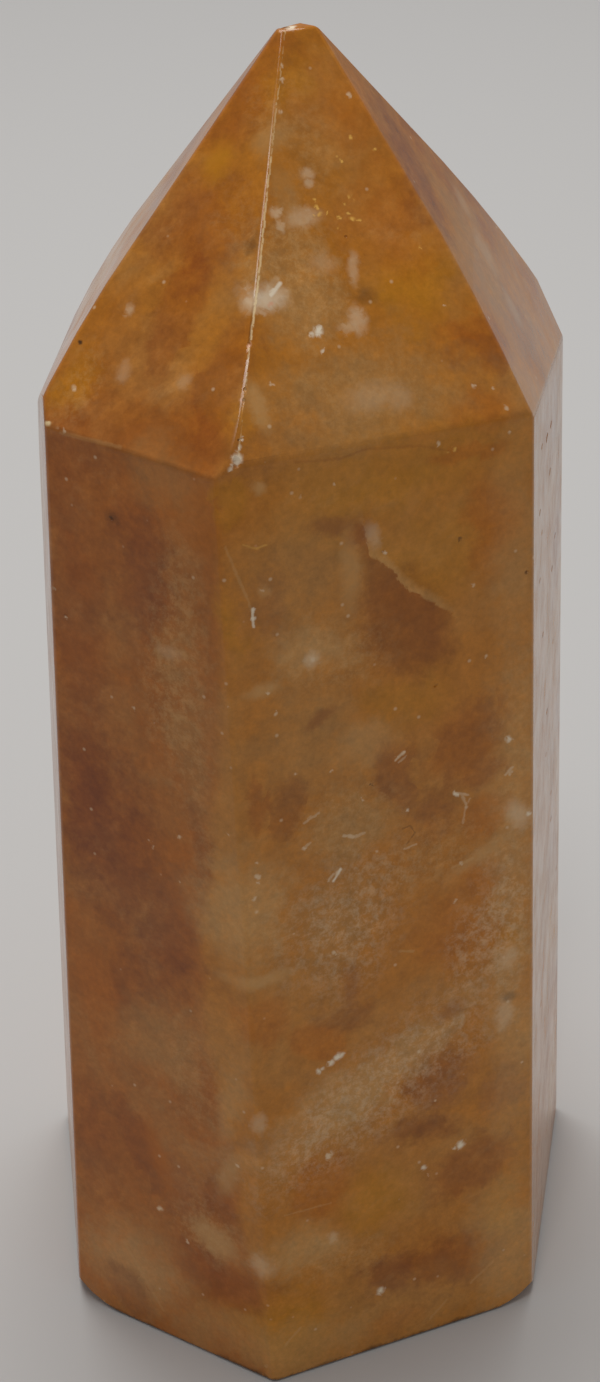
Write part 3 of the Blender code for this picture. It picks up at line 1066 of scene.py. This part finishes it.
    # Cotton: fine clots and fibres that break up the veils.
    cotton = add_node(
        tree, "TexNoise", {"Vector": ragged, "Scale": 1.7, "Detail": 4.0, "Roughness": 0.8}
    )
    tufts = add_node(
        tree, "MapRange", {0: cotton.outputs["Fac"], 1: 0.44, 2: 0.62}
    ).outputs["Result"]
    colour = layer(
        tree, "veils", lay_marks, VEILS, colour=colour, space=drift, jitter=fray, clots=tufts
    )

    # Splinters: cells of a quarter of a millimetre break the outlines of the small marks.
    splinters = add_node(tree, "TexVoronoi", {"Vector": mm, "Scale": 4.0})
    chip = add_node(
        tree,
        "VectorMath",
        {0: splinters.outputs["Color"], 1: (0.5, 0.5, 0.5)},
        operation="SUBTRACT",
    ).outputs["Vector"]
    broken = add_node(
        tree, "VectorMath", {0: chip, 1: (0.14, 0.14, 0.14), 2: ragged}, operation="MULTIPLY_ADD"
    ).outputs["Vector"]
    colour = lay_fracture(tree, colour, broken)

    # Wisps: pale fibres that climb to the right, along the way the crystal grew. They only show
    # in the haze.
    grain_way = Vector((16.2, 5.7, 9.9)).to_track_quat("Z", "Y").to_euler()
    combed = add_node(
        tree,
        "Mapping",
        {"Vector": ragged, "Rotation": grain_way, "Scale": (1.0, 1.0, 3.0)},
        vector_type="TEXTURE",
    )
    fibre = add_node(
        tree,
        "TexNoise",
        {"Vector": combed.outputs[0], "Scale": 1.1, "Detail": 4.0, "Roughness": 0.7},
    )
    wisps = add_node(
        tree, "MapRange", {0: fibre.outputs["Fac"], 1: 0.53, 2: 0.85, 3: 0.0, 4: 0.8}
    ).outputs["Result"]
    wisps = add_node(tree, "Math", {0: wisps, 1: haze}, operation="MULTIPLY").outputs[0]
    colour = add_node(
        tree, "Mix", {0: wisps, 6: colour, 7: linear(TONES["buff"])}, data_type="RGBA"
    ).outputs[2]

    # Mottle: the curd and a finer, sugary grain darken and lighten the whole stone a little.
    mottle = add_node(
        tree, "MapRange", {0: curd, 1: 0.3, 2: 0.7, 3: 0.85, 4: 1.15}
    ).outputs["Result"]
    sugar = add_node(
        tree, "TexNoise", {"Vector": mm, "Scale": 2.6, "Detail": 3.0, "Roughness": 0.7}
    ).outputs["Fac"]
    speckle = add_node(
        tree, "MapRange", {0: sugar, 1: 0.3, 2: 0.7, 3: 0.9, 4: 1.1}
    ).outputs["Result"]
    shading = add_node(tree, "Math", {0: mottle, 1: speckle}, operation="MULTIPLY").outputs[0]
    colour = add_node(
        tree, "Mix", {0: 1.0, 6: colour, 7: shading}, data_type="RGBA", blend_type="MULTIPLY"
    ).outputs[2]

    colour = layer(
        tree, "smears", lay_marks, SMEARS, colour=colour, space=broken, jitter=nick, clots=clots
    )
    hairline = add_node(
        tree, "VectorMath", {0: chip, 1: (0.06, 0.06, 0.06), 2: mm}, operation="MULTIPLY_ADD"
    ).outputs["Vector"]
    colour = layer(tree, "lines", lay_lines, LINES, colour=colour, space=hairline)
    colour = layer(tree, "flecks", lay_flecks, FLECKS, colour=colour, space=broken)

    # Stray flecks: where a cell's own point lies just under the polish, it glints.
    strays = add_node(tree, "TexVoronoi", {"Vector": mm, "Scale": 0.75})
    drawn = add_node(tree, "SeparateColor", {0: strays.outputs["Color"]})
    chosen = add_node(
        tree, "Math", {0: drawn.outputs["Red"], 1: 0.62}, operation="GREATER_THAN"
    ).outputs[0]
    glint = add_node(
        tree, "MapRange", {0: strays.outputs["Distance"], 1: 0.04, 2: 0.11, 3: 0.5, 4: 0.0}
    ).outputs["Result"]
    stray = add_node(tree, "Math", {0: glint, 1: chosen}, operation="MULTIPLY").outputs[0]
    colour = add_node(
        tree, "Mix", {0: stray, 6: colour, 7: linear(TONES["ash"])}, data_type="RGBA"
    ).outputs[2]

    # Painted shade where the base rounds under, in the lowest four tenths of a millimetre.
    height = add_node(tree, "SeparateXYZ", {0: broken})
    painted_base_shade = add_node(
        tree, "MapRange", {0: height.outputs["Z"], 1: 0.12, 2: 0.42, 3: 0.75, 4: 0.0}
    ).outputs["Result"]
    colour = add_node(
        tree, "Mix", {0: painted_base_shade, 6: colour, 7: linear(TONES["soot"])}, data_type="RGBA"
    ).outputs[2]
    tree.links.new(colour, shader.inputs["Base Color"])

    # The wheel leaves a high polish that dulls in patches of a few millimetres.
    handled = add_node(
        tree, "TexNoise", {"Vector": mm, "Scale": 0.35, "Detail": 3.0, "Roughness": 0.7}
    ).outputs["Fac"]
    dulled = add_node(
        tree, "MapRange", {0: handled, 1: 0.3, 2: 0.75, 3: 0.09, 4: 0.26}
    ).outputs["Result"]
    tree.links.new(dulled, shader.inputs["Roughness"])

    # Polishing waves of about 2 mm, and scratches a tenth of a millimetre wide across them.
    waves = add_node(
        tree, "TexNoise", {"Vector": mm, "Scale": 0.5, "Detail": 2.0, "Roughness": 0.5}
    ).outputs["Fac"]
    dragged = add_node(
        tree, "Mapping", {"Vector": mm, "Rotation": (0.2, 0.9, 0.4), "Scale": (9.0, 9.0, 0.7)}
    )
    scratches = add_node(
        tree,
        "TexNoise",
        {"Vector": dragged.outputs[0], "Scale": 1.0, "Detail": 2.0, "Roughness": 0.6},
    ).outputs["Fac"]
    relief = add_node(
        tree, "Math", {0: scratches, 1: 0.06, 2: waves}, operation="MULTIPLY_ADD"
    ).outputs[0]
    bump = add_node(tree, "Bump", {"Height": relief, "Strength": 0.5, "Distance": 0.02 * MM})
    tree.links.new(bump.outputs["Normal"], shader.inputs["Normal"])

    # Light that sinks in and comes back is left out: it makes a final render too slow.
    shader.inputs["IOR"].default_value = 1.6
    shader.inputs["Specular IOR Level"].default_value = 0.25
    return material


# ---- floor, light and camera ---------------------------------------------------------------


def plain_material(name, colour, roughness):
    """A plain matt finish for the stage."""
    material = bpy.data.materials.new(name)
    material.use_nodes = True
    shader = material.node_tree.nodes["Principled BSDF"]
    shader.inputs["Base Color"].default_value = linear(colour)
    shader.inputs["Roughness"].default_value = roughness
    return material


def pale_floor():
    """A plain pale floor under the stone."""
    bpy.ops.object.select_all(action="DESELECT")
    bpy.ops.mesh.primitive_plane_add(size=6.0, location=(0.0, 0.0, 0.0))
    floor = bpy.context.object
    floor.name = "studio_floor"
    floor.data.materials.append(plain_material("matt_pale_floor", "#C7C5C2", 0.9))
    return floor


def softbox(name, place, aim, width, height, power):
    """A soft rectangular light that points at aim."""
    bpy.ops.object.light_add(type="AREA", location=place)
    lamp = bpy.context.object
    lamp.name = name
    lamp.data.shape = "RECTANGLE"
    lamp.data.size = width
    lamp.data.size_y = height
    lamp.data.energy = power
    away = Vector(place) - Vector(aim)
    lamp.rotation_euler = away.to_track_quat("Z", "Y").to_euler()


def soft_light():
    """Plain soft studio light: a pale room, a high softbox and a strip that lights the arris."""
    world = bpy.data.worlds.new("pale_room")
    world.use_nodes = True
    walls = world.node_tree.nodes["Background"]
    walls.inputs["Color"].default_value = linear("#F4F3F5")
    walls.inputs["Strength"].default_value = 0.34
    bpy.context.scene.world = world
    softbox("high_softbox", (-0.03, 0.14, 0.42), (0.0, 0.03, 0.03), 0.28, 0.28, 1.1)
    softbox("arris_strip", (-0.036, -0.198, 0.5), (-0.002, -0.01, 0.072), 0.06, 0.14, 0.3)


# The camera was solved from the stone's own arrises in the photograph.
CAMERA_PLACE = Vector((-0.17, -158.04, 134.21)) * MM
CAMERA_PITCH = 31.047
CAMERA_ROLL = 1.256
FOCAL_PIXELS = 3025.6
FRAME_HEIGHT = 1382
RAISE_PIXELS = 3.5


def photo_camera():
    """The camera at the photograph's viewing angle."""
    lens = bpy.data.cameras.new("photo_camera")
    lens.sensor_width = 36.0
    lens.lens = lens.sensor_width * FOCAL_PIXELS / FRAME_HEIGHT
    lens.shift_y = -RAISE_PIXELS / FRAME_HEIGHT
    lens.clip_start = 0.01
    camera = bpy.data.objects.new("photo_camera", lens)
    bpy.context.scene.collection.objects.link(camera)
    tilt = Euler((math.radians(90.0 - CAMERA_PITCH), 0.0, 0.0)).to_matrix()
    roll = Matrix.Rotation(-math.radians(CAMERA_ROLL), 3, "Z")
    camera.matrix_world = Matrix.Translation(CAMERA_PLACE) @ (tilt @ roll).to_4x4()
    bpy.context.scene.camera = camera


def main():
    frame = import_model()

    stone = stone_body(frame["nodes"]["calcite_point"])
    stone.data.materials.clear()
    stone.data.materials.append(calcite())
    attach(stone, "root")
    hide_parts("calcite_point")

    pale_floor()
    soft_light()
    photo_camera()
    bpy.context.scene.view_settings.view_transform = "Standard"


main()
